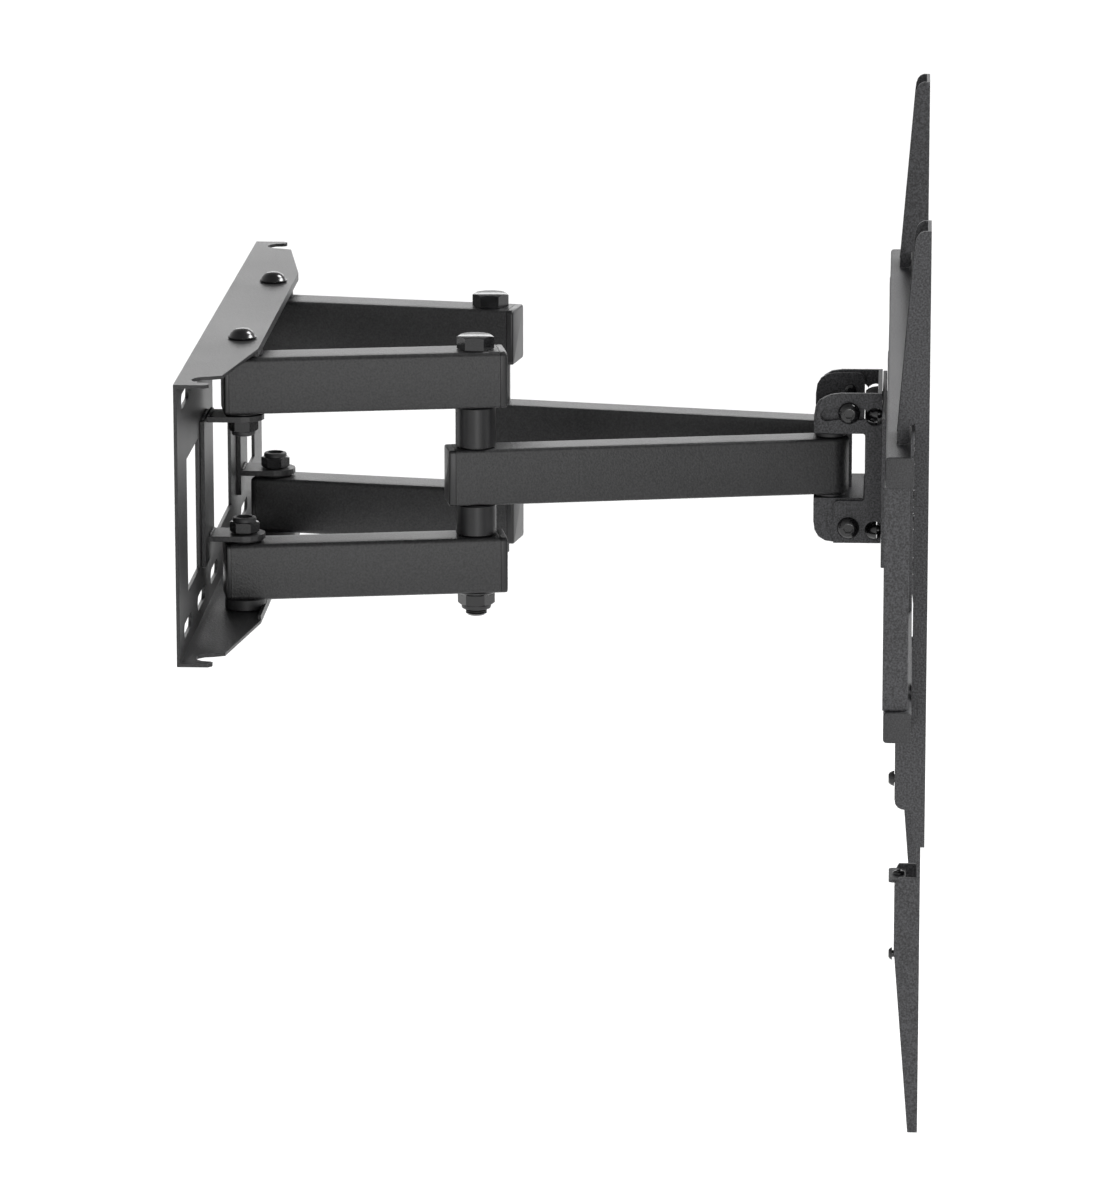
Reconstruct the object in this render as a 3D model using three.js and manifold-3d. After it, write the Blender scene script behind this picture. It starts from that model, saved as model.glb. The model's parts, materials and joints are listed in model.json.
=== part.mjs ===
// Full motion television wall mount: wall plate, two folding twin arms, tilting head and television frame.
// Millimetres. The wall is the plane y = 0, the mount stands out along -Y, and +Z is up.
// The origin is on the wall, at the middle of the upper row of lag slots. Left is -X, as a person
// facing the wall sees it. Heights below are first counted from the middle of the wall plate.
// Depths from the wall are called u, so u = -y.
import * as THREE from 'three';
import { mergeVertices } from 'three/addons/utils/BufferGeometryUtils.js';
import Module from 'manifold-3d';

const wasm = await Module();
wasm.setup();

const gap = 0.3; // running gap between neighbouring pieces
const sheet = 2.5; // folded steel sheet

const plate = { half: 298, top: 102.5, slotRow: 84, depth: 46.5, straight: 158, lip: 6 };
const pivot = {
  x: 118,
  u: 31,
  boltR: 6,
  headR: 10.5,
  nutR: 11,
  tab: 4,
  tabHalf: 15.5,
  webOut: 34,
  webIn: 16,
  webDrop: 15,
};
const rear = { half: 17, height: 42, wall: 2.5, upperTop: 90.5, lowerTop: -49, tail: 11.5, nose: 16.5 };
const elbow = { x: 87, u: 200, boltR: 8, headR: 13.8, headH: 10, nutR: 13.8, nutH: 14, spacerR: 15 };
const front = { half: 14, height: 42, wall: 2.5, top: 17, tail: 16.5 };
const head = { x: 33, u: 461, boltR: 5, looseR: 9.5, half: 45, ear: 3, back: 449, tilt: 87 };
const tiltAxis = { u: 475, z: -50, screwR: 4, headR: 8.2, headH: 4.5 };
const tiltBracket = { half: 48.3, back: 451, face: 499.3, top: 52, bottom: -61.5 };
const levelBolt = { rows: [34.3, -51.7], notchR: 7 };
const levelPlate = { half: 95, u: 499.6, top: 42, bottom: -70, t: 3 };
const rail = { half: 415, u0: 503.6, u1: 523.1, upperTop: 80, lowerTop: -100, height: 22, lip: 10 };
const centrePlate = { half: 108, u: 520.6 };
const upright = { end: 400, centre: 78, half: 13, u0: 502.9, u1: 520.3 };
const bracket = { x: 350, half: 23, faceU: 533.4, top: 229.5, bottom: -208, t: 2.5 };
const extension = { half: 20, top: -150, start: -231, bottom: -418 };

const blackCoat = { color: 0x2e2e30, roughness: 0.5, metalness: 0.1 };
const textured = { color: 0x3a3a3c, roughness: 0.75, metalness: 0.1 };
const plastic = { color: 0x1c1c1e, roughness: 0.5, metalness: 0.0 };
const blackBolt = { color: 0x161618, roughness: 0.3, metalness: 0.6 };

const mount = new THREE.Group();

// ---- solids ----

function solid(geometry) {
  const bare = geometry.clone();
  bare.deleteAttribute('normal');
  bare.deleteAttribute('uv');
  const merged = mergeVertices(bare, 1e-4);
  const vertProperties = new Float32Array(merged.attributes.position.array);
  const triVerts = new Uint32Array(merged.index.array);
  return new wasm.Manifold(new wasm.Mesh({ numProp: 3, vertProperties, triVerts }));
}

function union(solids) {
  return solids.reduce((whole, next) => whole.add(next));
}

function cut(body, ...tools) {
  return tools.reduce((left, tool) => left.subtract(tool), body);
}

function addNode(name, body, finish) {
  const mesh = body.getMesh();
  const geometry = new THREE.BufferGeometry();
  geometry.setAttribute('position', new THREE.BufferAttribute(new Float32Array(mesh.vertProperties), 3));
  geometry.setIndex(new THREE.BufferAttribute(new Uint32Array(mesh.triVerts), 1));
  geometry.computeVertexNormals();
  const node = new THREE.Mesh(geometry, new THREE.MeshStandardMaterial(finish));
  node.name = name;
  mount.add(node);
}

function slab([x0, x1], [u0, u1], [z0, z1]) {
  const box = new THREE.BoxGeometry(x1 - x0, u1 - u0, z1 - z0);
  box.translate((x0 + x1) / 2, -(u0 + u1) / 2, (z0 + z1) / 2);
  return solid(box);
}

// An upright rod at (x, u) from z0 to z1; sides of 6 make a hexagon.
function rodZ(x, u, z0, z1, radius, sides = 16) {
  const rod = new THREE.CylinderGeometry(radius, radius, z1 - z0, sides);
  rod.rotateX(Math.PI / 2);
  rod.translate(x, -u, (z0 + z1) / 2);
  return solid(rod);
}

function rodX(u, z, x0, x1, radius, sides = 16) {
  const rod = new THREE.CylinderGeometry(radius, radius, x1 - x0, sides);
  rod.rotateZ(Math.PI / 2);
  rod.translate((x0 + x1) / 2, -u, z);
  return solid(rod);
}

function rodU(x, z, u0, u1, radius, sides = 12) {
  const rod = new THREE.CylinderGeometry(radius, radius, u1 - u0, sides);
  rod.translate(x, -(u0 + u1) / 2, z);
  return solid(rod);
}

// A turned piece standing on z, profile as [radius, height] pairs from axis to axis.
function turnedZ(x, u, z, profile, up = 1) {
  const points = profile.map(([radius, height]) => new THREE.Vector2(radius, height));
  const turned = new THREE.LatheGeometry(points, 16);
  turned.rotateX(up > 0 ? Math.PI / 2 : -Math.PI / 2);
  turned.translate(x, -u, z);
  return solid(turned);
}

function extrude(shape, depth, across, along) {
  const block = new THREE.ExtrudeGeometry(shape, { depth, bevelEnabled: false, curveSegments: 4 });
  const normal = new THREE.Vector3().crossVectors(across, along);
  block.applyMatrix4(new THREE.Matrix4().makeBasis(across, along, normal));
  return solid(block);
}

const axisX = new THREE.Vector3(1, 0, 0);
const axisU = new THREE.Vector3(0, -1, 0);
const axisZ = new THREE.Vector3(0, 0, 1);

// A sheet lying flat, drawn in (x, u), with its top at zTop.
function flatSheet(shape, zTop, thickness) {
  return extrude(shape, thickness, axisX, axisU).translate([0, 0, zTop]);
}

// A sheet facing the wall, drawn in (x, z), from u0 outwards.
function facingSheet(shape, u0, thickness) {
  return extrude(shape, thickness, axisX, axisZ).translate([0, -u0, 0]);
}

// A side sheet, drawn in (u, z), from x0 to x0 + thickness.
function sideSheet(shape, x0, thickness) {
  return extrude(shape, thickness, axisU, axisZ).translate([x0 + thickness, 0, 0]);
}

function outline(points) {
  return new THREE.Shape(points.map(([a, b]) => new THREE.Vector2(a, b)));
}

function mirrored(points) {
  return points.map(([a, b]) => [-a, b]).reverse();
}

// A slot with round ends, long way along the first drawing axis.
function slot(a, b, length, width) {
  const radius = width / 2;
  const reach = length / 2 - radius;
  const shape = new THREE.Shape();
  shape.absarc(a + reach, b, radius, -Math.PI / 2, Math.PI / 2, false);
  shape.absarc(a - reach, b, radius, Math.PI / 2, Math.PI * 1.5, false);
  return shape;
}

function uprightSlot(a, b, length, width) {
  const radius = width / 2;
  const reach = length / 2 - radius;
  const shape = new THREE.Shape();
  shape.absarc(a, b + reach, radius, 0, Math.PI, false);
  shape.absarc(a, b - reach, radius, Math.PI, Math.PI * 2, false);
  return shape;
}

// ---- wall side ----

// Each end has a cable hook: a slot open to the room, between a thin finger and the sloping edge.
function flangeShape() {
  const finger = { inside: 289, tip: 25, slotOut: 266, slotRoot: 22.5, corner: 262, cornerU: 31 };
  const slotR = (finger.inside - finger.slotOut) / 2;
  const middle = (finger.inside + finger.slotOut) / 2;
  const shape = new THREE.Shape();
  shape.moveTo(-plate.half, 0);
  for (const side of [1, -1]) {
    const order = [
      [plate.half, 0],
      [plate.half, finger.tip - 3],
      [plate.half - 3, finger.tip],
      [finger.inside + 2, finger.tip],
      [finger.inside, finger.tip - 2],
    ];
    for (let step = 0; step <= 6; step += 1) {
      const angle = (-Math.PI * step) / 6;
      order.push([middle + slotR * Math.cos(angle), finger.slotRoot + slotR * Math.sin(angle)]);
    }
    order.push([finger.corner, finger.cornerU], [plate.straight, plate.depth]);
    const along = side > 0 ? order : order.reverse();
    for (const [x, u] of along) {
      shape.lineTo(side * x, u);
    }
  }
  return shape;
}

function wallPlate() {
  const back = slab([-plate.half, plate.half], [0, sheet], [-plate.top, plate.top]);
  const top = flatSheet(flangeShape(), plate.top, sheet);
  const bottom = flatSheet(flangeShape(), sheet - plate.top, sheet);
  const lips = [1, -1].map((side) => {
    const outer = side * plate.top;
    const inner = side * (plate.top - plate.lip);
    const heights = [Math.min(outer, inner), Math.max(outer, inner)];
    return slab([-plate.straight, plate.straight], [plate.depth - sheet, plate.depth], heights);
  });
  const holes = [];
  const endWindow = [[-240, -60], [-163, -60], [-163, 37], [-240, 37]];
  for (const window of [endWindow, mirrored(endWindow), [[-62, -61], [62, -61], [62, 60], [-62, 60]]]) {
    holes.push(facingSheet(outline(window), -1, sheet + 2));
  }
  for (const x of [-245, -156, -67, 67, 156, 245]) {
    for (const z of [-plate.slotRow, plate.slotRow]) {
      holes.push(facingSheet(slot(x, z, 48, 11), -1, sheet + 2));
    }
  }
  for (const side of [-1, 1]) {
    holes.push(rodZ(side * pivot.x, pivot.u, -plate.top - 1, plate.top + 1, pivot.boltR + gap));
  }
  return cut(union([back, top, bottom, ...lips]), ...holes);
}

// A C-shaped bracket welded to the plate: its two tabs take the inner ends of the pivot bolts.
function pivotBracket(side) {
  const x = side * pivot.x;
  const web = sheet + gap;
  const tabShape = new THREE.Shape();
  tabShape.moveTo(x - pivot.tabHalf, web);
  tabShape.lineTo(x + pivot.tabHalf, web);
  tabShape.lineTo(x + pivot.tabHalf, pivot.u);
  tabShape.absarc(x, pivot.u, pivot.tabHalf, 0, Math.PI, false);
  const upperTab = rear.upperTop - rear.height - 2;
  const lowerTab = rear.lowerTop + 2 + pivot.tab;
  const reach = [x + side * pivot.webOut, x - side * pivot.webIn].sort((a, b) => a - b);
  const back = slab(reach, [web, web + 3], [lowerTab - pivot.tab - pivot.webDrop, upperTab]);
  const tabs = [upperTab, lowerTab].map((z) => flatSheet(tabShape, z, pivot.tab));
  const hole = rodZ(x, pivot.u, lowerTab - 10, upperTab + 10, pivot.boltR + gap);
  return cut(union([back, ...tabs]), hole);
}

// Dome-headed pivot bolts come in from outside the flanges, and their nuts sit inside the bracket's tabs.
function pivotBolt(side, level) {
  const x = side * pivot.x;
  const flange = plate.top + gap;
  const tip = rear.upperTop - rear.height - 2 - pivot.tab - 9;
  const dome = [[0, 0], [pivot.headR, 0], [pivot.headR, 1.5], [9, 4.6], [5.6, 6.8], [0, 7.6]];
  const headSolid = turnedZ(x, pivot.u, level * flange, dome, level);
  const lowerTip = rear.lowerTop + 2 + pivot.tab + 9;
  const shank = level > 0 ? [tip, flange + 1] : [-flange - 1, lowerTip];
  return union([headSolid, rodZ(x, pivot.u, shank[0], shank[1], pivot.boltR)]);
}

function pivotNut(side, level) {
  const x = side * pivot.x;
  const tabInside = level > 0 ? rear.upperTop - rear.height - 2 - pivot.tab : rear.lowerTop + 2 + pivot.tab;
  const heights = level > 0 ? [tabInside - 12, tabInside - gap] : [tabInside + gap, tabInside + 12];
  return cut(
    rodZ(x, pivot.u, heights[0], heights[1], pivot.nutR, 6),
    rodZ(x, pivot.u, heights[0] - 1, heights[1] + 1, pivot.boltR + gap),
  );
}

// ---- arms ----

function boxTube(length, half, height, wall, start) {
  const outer = slab([-half, half], [start, start + length], [-height, 0]);
  const hollow = slab([wall - half, half - wall], [start - 1, start + length + 1], [wall - height, -wall]);
  return cut(outer, hollow);
}

// Turns a piece drawn along +u so that it runs from one pin to the next, at the height given.
function laidAlong(body, from, to, z) {
  const angle = (Math.atan2(to.x - from.x, to.u - from.u) * 180) / Math.PI;
  return body.rotate([0, 0, angle]).translate([from.x, -from.u, z]);
}

function pinDistance(from, to) {
  return Math.hypot(to.x - from.x, to.u - from.u);
}

function pins(side) {
  return {
    wall: { x: side * pivot.x, u: pivot.u },
    elbow: { x: side * elbow.x, u: elbow.u },
    head: { x: side * head.x, u: head.u },
  };
}

function rearTube(side, top) {
  const { wall, elbow: bend } = pins(side);
  const length = pinDistance(wall, bend);
  const tube = boxTube(rear.tail + length + rear.nose, rear.half, rear.height, rear.wall, -rear.tail);
  const holes = union([
    rodZ(0, 0, -rear.height - 1, 1, pivot.boltR + gap),
    rodZ(0, length, -rear.height - 1, 1, elbow.boltR + gap),
  ]);
  return laidAlong(cut(tube, holes), wall, bend, top);
}

// The plastic end cap has rounded upright edges.
function capShape(half, start, depth, radius) {
  const shape = new THREE.Shape();
  shape.moveTo(-half, start);
  shape.lineTo(half, start);
  shape.lineTo(half, start + depth - radius);
  shape.absarc(half - radius, start + depth - radius, radius, 0, Math.PI / 2, false);
  shape.absarc(radius - half, start + depth - radius, radius, Math.PI / 2, Math.PI, false);
  return shape;
}

function rearCap(side, top) {
  const { wall, elbow: bend } = pins(side);
  const start = pinDistance(wall, bend) + rear.nose + gap;
  const cap = flatSheet(capShape(rear.half, start, 5, 4), 0, rear.height);
  return laidAlong(cap, wall, bend, top);
}

function frontTube(side, holeR) {
  const { elbow: bend, head: end } = pins(side);
  const length = pinDistance(bend, end);
  const tube = boxTube(front.tail + length, front.half, front.height, front.wall, -front.tail);
  const nose = cut(
    rodZ(0, length, -front.height, 0, front.half),
    rodZ(0, length, front.wall - front.height, -front.wall, front.half - front.wall),
    slab([-front.half, front.half], [length - front.half - 1, length], [-front.height - 1, 1]),
  );
  const holes = union([
    rodZ(0, 0, -front.height - 1, 1, elbow.boltR + gap),
    rodZ(0, length, -front.height - 1, 1, holeR),
  ]);
  return laidAlong(cut(tube.add(nose), holes), bend, end, front.top);
}

function frontCap(side) {
  const { elbow: bend, head: end } = pins(side);
  const cap = flatSheet(capShape(front.half, front.tail + gap, 5, 4), 0, front.height);
  return laidAlong(cap.rotate([0, 0, 180]), bend, end, front.top);
}

function elbowBolt(side) {
  const { elbow: bend } = pins(side);
  const seat = rear.upperTop + gap;
  const bottom = rear.lowerTop - rear.height - elbow.nutH - 5;
  return union([
    rodZ(bend.x, bend.u, seat, seat + elbow.headH, elbow.headR, 6),
    rodZ(bend.x, bend.u, bottom, seat + 1, elbow.boltR),
  ]);
}

function elbowNut(side) {
  const { elbow: bend } = pins(side);
  const seat = rear.lowerTop - rear.height - gap;
  const nut = union([
    rodZ(bend.x, bend.u, seat - 10, seat - 2, elbow.nutR, 6),
    rodZ(bend.x, bend.u, seat - 2.5, seat, 15),
    rodZ(bend.x, bend.u, seat - elbow.nutH, seat - 9.5, 11),
  ]);
  return cut(nut, rodZ(bend.x, bend.u, seat - 20, seat + 1, elbow.boltR + gap));
}

function elbowSpacer(side, z0, z1) {
  const { elbow: bend } = pins(side);
  return cut(
    rodZ(bend.x, bend.u, z0 + gap, z1 - gap, elbow.spacerR),
    rodZ(bend.x, bend.u, z0 - 1, z1 + 1, elbow.boltR + gap),
  );
}

// ---- head ----

const headTop = front.top + 4;
const headBottom = front.top - front.height - 3;

// One end plate of the knuckle with the two ears that are folded from it, up or down.
function knuckleHalf(level) {
  const inner = level > 0 ? headTop : headBottom;
  const base = level > 0 ? [inner, inner + 4] : [inner - 4, inner];
  const far = level > 0 ? tiltBracket.top - 2 : tiltBracket.bottom;
  const flat = slab([-head.half, head.half], [head.back, 486], base);
  const earShape = new THREE.Shape();
  const corner = 16;
  const earBack = head.back;
  const earFront = 486;
  earShape.moveTo(earBack, inner);
  earShape.lineTo(earBack, far - level * corner);
  earShape.quadraticCurveTo(earBack, far, earBack + corner, far);
  earShape.lineTo(earFront - 6, far);
  earShape.quadraticCurveTo(earFront, far, earFront, far - level * 6);
  earShape.lineTo(earFront, inner);
  const ears = [-head.half, head.half - head.ear].map((x0) => sideSheet(earShape, x0, head.ear));
  return union([flat, ...ears]);
}

function knuckle() {
  const web = slab([-5, 5], [head.back, 477], [headBottom - 1, headTop + 1]);
  const holes = [];
  for (const side of [-1, 1]) {
    holes.push(rodZ(side * head.x, head.u, headBottom - 6, headTop + 6, head.boltR + gap));
  }
  holes.push(rodX(tiltAxis.u, tiltAxis.z, -head.half - 1, head.half + 1, tiltAxis.screwR + gap));
  holes.push(rodX(tiltAxis.u, tiltAxis.z + head.tilt, -head.half - 1, head.half + 1, tiltAxis.screwR + gap));
  return cut(union([knuckleHalf(1), knuckleHalf(-1), web]), ...holes);
}

function headBolt(side) {
  const x = side * head.x;
  const seat = headTop + 4 + gap;
  return union([
    rodZ(x, head.u, seat, seat + 6.5, 9.2, 6),
    rodZ(x, head.u, headBottom - 13, seat + 1, head.boltR),
  ]);
}

function headNut(side) {
  const x = side * head.x;
  const seat = headBottom - 4 - gap;
  return cut(rodZ(x, head.u, seat - 8, seat, 9.2, 6), rodZ(x, head.u, seat - 9, seat + 1, head.boltR + gap));
}

// Button-headed screw through a cheek and an ear, with its hexagon socket.
function cheekScrew(side, z) {
  const seat = tiltBracket.half + gap;
  const tip = head.half - 8;
  const span = (a, b) => (side > 0 ? [a, b] : [-b, -a]);
  const [h0, h1] = span(seat, seat + tiltAxis.headH);
  const [s0, s1] = span(tip, seat + 1);
  const [k0, k1] = span(seat + 1.8, seat + tiltAxis.headH + 1);
  return cut(
    union([rodX(tiltAxis.u, z, h0, h1, tiltAxis.headR), rodX(tiltAxis.u, z, s0, s1, tiltAxis.screwR)]),
    rodX(tiltAxis.u, z, k0, k1, 3.2, 6),
  );
}

// The C-shaped cheek: its upper lobe has the tilt slot, its lower lobe the pivot hole.
function cheekShape() {
  const { back, face: fold, top, bottom } = tiltBracket;
  const mouthTop = headTop + 0.5;
  const mouthBottom = headBottom - 1.5;
  const webBack = 487;
  const shape = new THREE.Shape();
  shape.moveTo(fold, bottom);
  shape.lineTo(fold, top - 3);
  shape.quadraticCurveTo(fold, top, fold - 3, top);
  shape.lineTo(back + 18, top);
  shape.quadraticCurveTo(back, top, back, top - 18);
  shape.lineTo(back, mouthTop + 8);
  shape.quadraticCurveTo(back, mouthTop, back + 8, mouthTop);
  shape.lineTo(webBack - 2, mouthTop);
  shape.quadraticCurveTo(webBack, mouthTop, webBack, mouthTop - 2);
  shape.lineTo(webBack, mouthBottom + 3);
  shape.quadraticCurveTo(webBack, mouthBottom, webBack - 3, mouthBottom);
  shape.lineTo(back + 17, mouthBottom);
  shape.quadraticCurveTo(back + 13, mouthBottom, back + 13, mouthBottom - 4);
  shape.lineTo(back + 13, bottom);
  return shape;
}

// The slot follows an arc about the pivot, from the forward stop to the backward stop.
function tiltSlotShape() {
  const radius = head.tilt;
  const width = tiltAxis.screwR + 0.7;
  const forward = Math.PI / 2 + (11 * Math.PI) / 180;
  const backward = Math.PI / 2 - (6 * Math.PI) / 180;
  const at = (angle, r) => [tiltAxis.u + r * Math.cos(angle), tiltAxis.z + r * Math.sin(angle)];
  const shape = new THREE.Shape();
  shape.absarc(tiltAxis.u, tiltAxis.z, radius + width, backward, forward, false);
  const [fa, fb] = at(forward, radius);
  shape.absarc(fa, fb, width, forward, forward + Math.PI, false);
  shape.absarc(tiltAxis.u, tiltAxis.z, radius - width, forward, backward, true);
  const [ba, bb] = at(backward, radius);
  shape.absarc(ba, bb, width, backward + Math.PI, backward + 2 * Math.PI, false);
  return shape;
}

function tiltBracketBody() {
  const { half, face: fold, top, bottom } = tiltBracket;
  const t = 3;
  const flat = slab([-half, half], [fold - t, fold], [bottom, top]);
  const cheeks = [-half, half - t].map((x0) => sideSheet(cheekShape(), x0, t));
  const tools = [rodX(tiltAxis.u, tiltAxis.z, -half - 1, half + 1, tiltAxis.screwR + gap)];
  tools.push(sideSheet(tiltSlotShape(), -half - 1, t + 2));
  tools.push(sideSheet(tiltSlotShape(), half - t - 1, t + 2));
  tools.push(facingSheet(outline([[-30, -30], [30, -30], [30, 22], [-30, 22]]), fold - t - 1, t + 2));
  for (const z of levelBolt.rows) {
    tools.push(rodX(fold - 5, z, -half - 1, half + 1, levelBolt.notchR));
  }
  return cut(union([flat, ...cheeks]), ...tools);
}

// ---- television frame ----

function levelPlateBody() {
  const { half, u, top, bottom, t } = levelPlate;
  const shape = outline([[-half, bottom], [half, bottom], [half, top], [-half, top]]);
  const window = slot(0, (top + bottom) / 2, 76, 40);
  return cut(facingSheet(shape, u, t), facingSheet(window, u - 1, t + 2));
}

// Closed square tube. The upper one has a lip on its television side for the brackets' hooks.
function railBody(top, lip) {
  const outer = slab([-rail.half, rail.half], [rail.u0, rail.u1], [top - rail.height, top + lip]);
  const shelf = slab([-rail.half - 1, rail.half + 1], [rail.u0 - 1, rail.u1 - sheet], [top, top + lip + 1]);
  const hollow = slab(
    [-rail.half - 1, rail.half + 1],
    [rail.u0 + sheet, rail.u1 - sheet],
    [top - rail.height + sheet, top - sheet],
  );
  return cut(lip > 0 ? cut(outer, shelf) : outer, hollow);
}

// Plastic plug in the tube's end, standing a little proud.
function railCap(side, top) {
  const inset = sheet + gap;
  const xs = [side * (rail.half - 12), side * (rail.half + 2)].sort((a, b) => a - b);
  return slab(xs, [rail.u0 + inset, rail.u1 - inset], [top - rail.height + inset, top - inset]);
}

function uprightBody(x) {
  const z0 = rail.lowerTop + gap;
  const z1 = rail.upperTop - rail.height - gap;
  const outer = slab([x - upright.half, x + upright.half], [upright.u0, upright.u1], [z0, z1]);
  const open = slab(
    [x - upright.half + sheet, x + upright.half - sheet],
    [upright.u0 + sheet, upright.u1 + 1],
    [z0 - 1, z1 + 1],
  );
  return cut(outer, open);
}

function centrePlateBody() {
  const { half, u } = centrePlate;
  const bottom = rail.lowerTop + gap;
  const top = rail.upperTop - rail.height - gap;
  const shape = outline([[-half, bottom], [half, bottom], [half, top], [-half, top]]);
  const holes = [slab([-56, 56], [u - 1, u + sheet + 1], [-80, 38])];
  for (const x of [-78, 78]) {
    for (const z of [-72, -21, 30]) {
      holes.push(rodU(x, z, u - 1, u + sheet + 1, 4.3));
    }
  }
  return cut(facingSheet(shape, u, sheet), ...holes);
}

// ---- television brackets ----

// Side of the bracket: the upper hook hangs over the frame's top edge and the lower lobe clips below it.
function bracketSide() {
  const { faceU, top, bottom } = bracket;
  const hookBack = 510.8;
  const railSeat = rail.upperTop + 0.5;
  const lipSlot = [rail.u1 - sheet - 0.8, rail.u1 + 0.4];
  const lobe = { back: 512, top: -125, bottom: -181 };
  const shape = new THREE.Shape();
  shape.moveTo(faceU, bottom);
  shape.lineTo(faceU, top);
  shape.lineTo(faceU - 5, top);
  shape.quadraticCurveTo(faceU - 11, top - 1, faceU - 11.6, top - 12);
  shape.lineTo(hookBack, railSeat);
  shape.lineTo(lipSlot[0] - 4, railSeat);
  shape.quadraticCurveTo(lipSlot[0], railSeat, lipSlot[0], railSeat + 4);
  shape.lineTo(lipSlot[0], rail.upperTop + rail.lip + 3);
  shape.lineTo(lipSlot[1], rail.upperTop + rail.lip + 5);
  shape.lineTo(lipSlot[1], lobe.top);
  shape.lineTo(lobe.back + 2, lobe.top);
  shape.quadraticCurveTo(lobe.back, lobe.top, lobe.back, lobe.top - 2);
  shape.lineTo(lobe.back, lobe.bottom + 8);
  shape.quadraticCurveTo(lobe.back, lobe.bottom, lobe.back + 8, lobe.bottom);
  shape.lineTo(lipSlot[1], lobe.bottom - 2);
  shape.lineTo(lipSlot[1] + 2.5, bottom);
  return shape;
}

function bracketBody(side) {
  const { x, half, faceU, top, bottom, t } = bracket;
  const cx = side * x;
  const web = slab([cx - half, cx + half], [faceU - t, faceU], [bottom, top]);
  const sides = [cx - half, cx + half - t].map((x0) => sideSheet(bracketSide(), x0, t));
  const screwTab = slab([cx - half + 1, cx + half - 1], [512, 514.5], [-174, -150]);
  const tools = [rodU(cx, -164, 505, 520, 3.3)];
  for (const z of [212, 170, 128, 86, 44, -44, -86, -128, -170]) {
    tools.push(facingSheet(uprightSlot(cx, z, 30, 8.6), faceU - t - 1, t + 2));
  }
  return cut(union([web, ...sides, screwTab]), ...tools);
}

function extensionBody(side) {
  const cx = side * bracket.x;
  const outer = bracket.faceU - bracket.t - gap;
  const { half, top, start, bottom } = extension;
  const t = bracket.t;
  const web = slab([cx - half, cx + half], [outer - t, outer], [bottom, top]);
  const shape = outline([
    [outer, start],
    [outer, bottom],
    [outer - 7, bottom],
    [outer - 18, start - 52],
    [outer - 18, start - 6],
    [outer - 15, start],
  ]);
  const sides = [cx - half, cx + half - t].map((x0) => sideSheet(shape, x0, t));
  const tools = [-170, -250, -300, -350, -388].map((z) =>
    facingSheet(uprightSlot(cx, z, 26, 8.6), outer - t - 1, t + 2),
  );
  return cut(union([web, ...sides]), ...tools);
}

function lockScrew(side) {
  const cx = side * bracket.x;
  return union([rodU(cx, -164, 507.6, 511.7, 5.4), rodU(cx, -164, 511, 522, 3)]);
}

// ---- assembly ----

const sides = [
  ['left', -1],
  ['right', 1],
];
const levels = [
  ['upper', 1, rear.upperTop],
  ['lower', -1, rear.lowerTop],
];

addNode('wall_plate', wallPlate(), blackCoat);
for (const [sideName, side] of sides) {
  addNode(`pivot_bracket_${sideName}`, pivotBracket(side), blackCoat);
  for (const [levelName, level, top] of levels) {
    addNode(`wall_bolt_${levelName}_${sideName}`, pivotBolt(side, level), blackBolt);
    addNode(`wall_nut_${levelName}_${sideName}`, pivotNut(side, level), blackBolt);
    addNode(`rear_arm_${levelName}_${sideName}`, rearTube(side, top), blackCoat);
    addNode(`rear_cap_${levelName}_${sideName}`, rearCap(side, top), plastic);
  }
  addNode(`elbow_bolt_${sideName}`, elbowBolt(side), blackBolt);
  addNode(`elbow_nut_${sideName}`, elbowNut(side), blackBolt);
  const armBottom = front.top - front.height;
  const upperGap = [front.top, rear.upperTop - rear.height];
  addNode(`elbow_spacer_upper_${sideName}`, elbowSpacer(side, ...upperGap), blackCoat);
  addNode(`elbow_spacer_lower_${sideName}`, elbowSpacer(side, rear.lowerTop, armBottom), blackCoat);
  const holeR = side < 0 ? head.boltR + gap : head.looseR;
  addNode(`front_arm_${sideName}`, frontTube(side, holeR), blackCoat);
  addNode(`front_cap_${sideName}`, frontCap(side), plastic);
  addNode(`head_bolt_${sideName}`, headBolt(side), blackBolt);
  addNode(`head_nut_${sideName}`, headNut(side), blackBolt);
  addNode(`tilt_pivot_screw_${sideName}`, cheekScrew(side, tiltAxis.z), blackBolt);
  addNode(`tilt_lock_screw_${sideName}`, cheekScrew(side, tiltAxis.z + head.tilt), blackBolt);
  addNode(`end_upright_${sideName}`, uprightBody(side * upright.end), textured);
  addNode(`centre_upright_${sideName}`, uprightBody(side * upright.centre), textured);
  addNode(`upper_rail_cap_${sideName}`, railCap(side, rail.upperTop), plastic);
  addNode(`lower_rail_cap_${sideName}`, railCap(side, rail.lowerTop), plastic);
  addNode(`tv_bracket_${sideName}`, bracketBody(side), textured);
  addNode(`bracket_extension_${sideName}`, extensionBody(side), textured);
  addNode(`lock_screw_${sideName}`, lockScrew(side), blackBolt);
}
addNode('knuckle', knuckle(), textured);
addNode('tilt_bracket', tiltBracketBody(), textured);
addNode('level_plate', levelPlateBody(), textured);
addNode('upper_rail', railBody(rail.upperTop, rail.lip), textured);
addNode('lower_rail', railBody(rail.lowerTop, 0), textured);
addNode('centre_plate', centrePlateBody(), textured);
mount.position.z = -plate.slotRow;

export default mount;
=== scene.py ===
import json
import math

import bmesh
import bpy
from mathutils import Matrix, Vector


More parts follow.
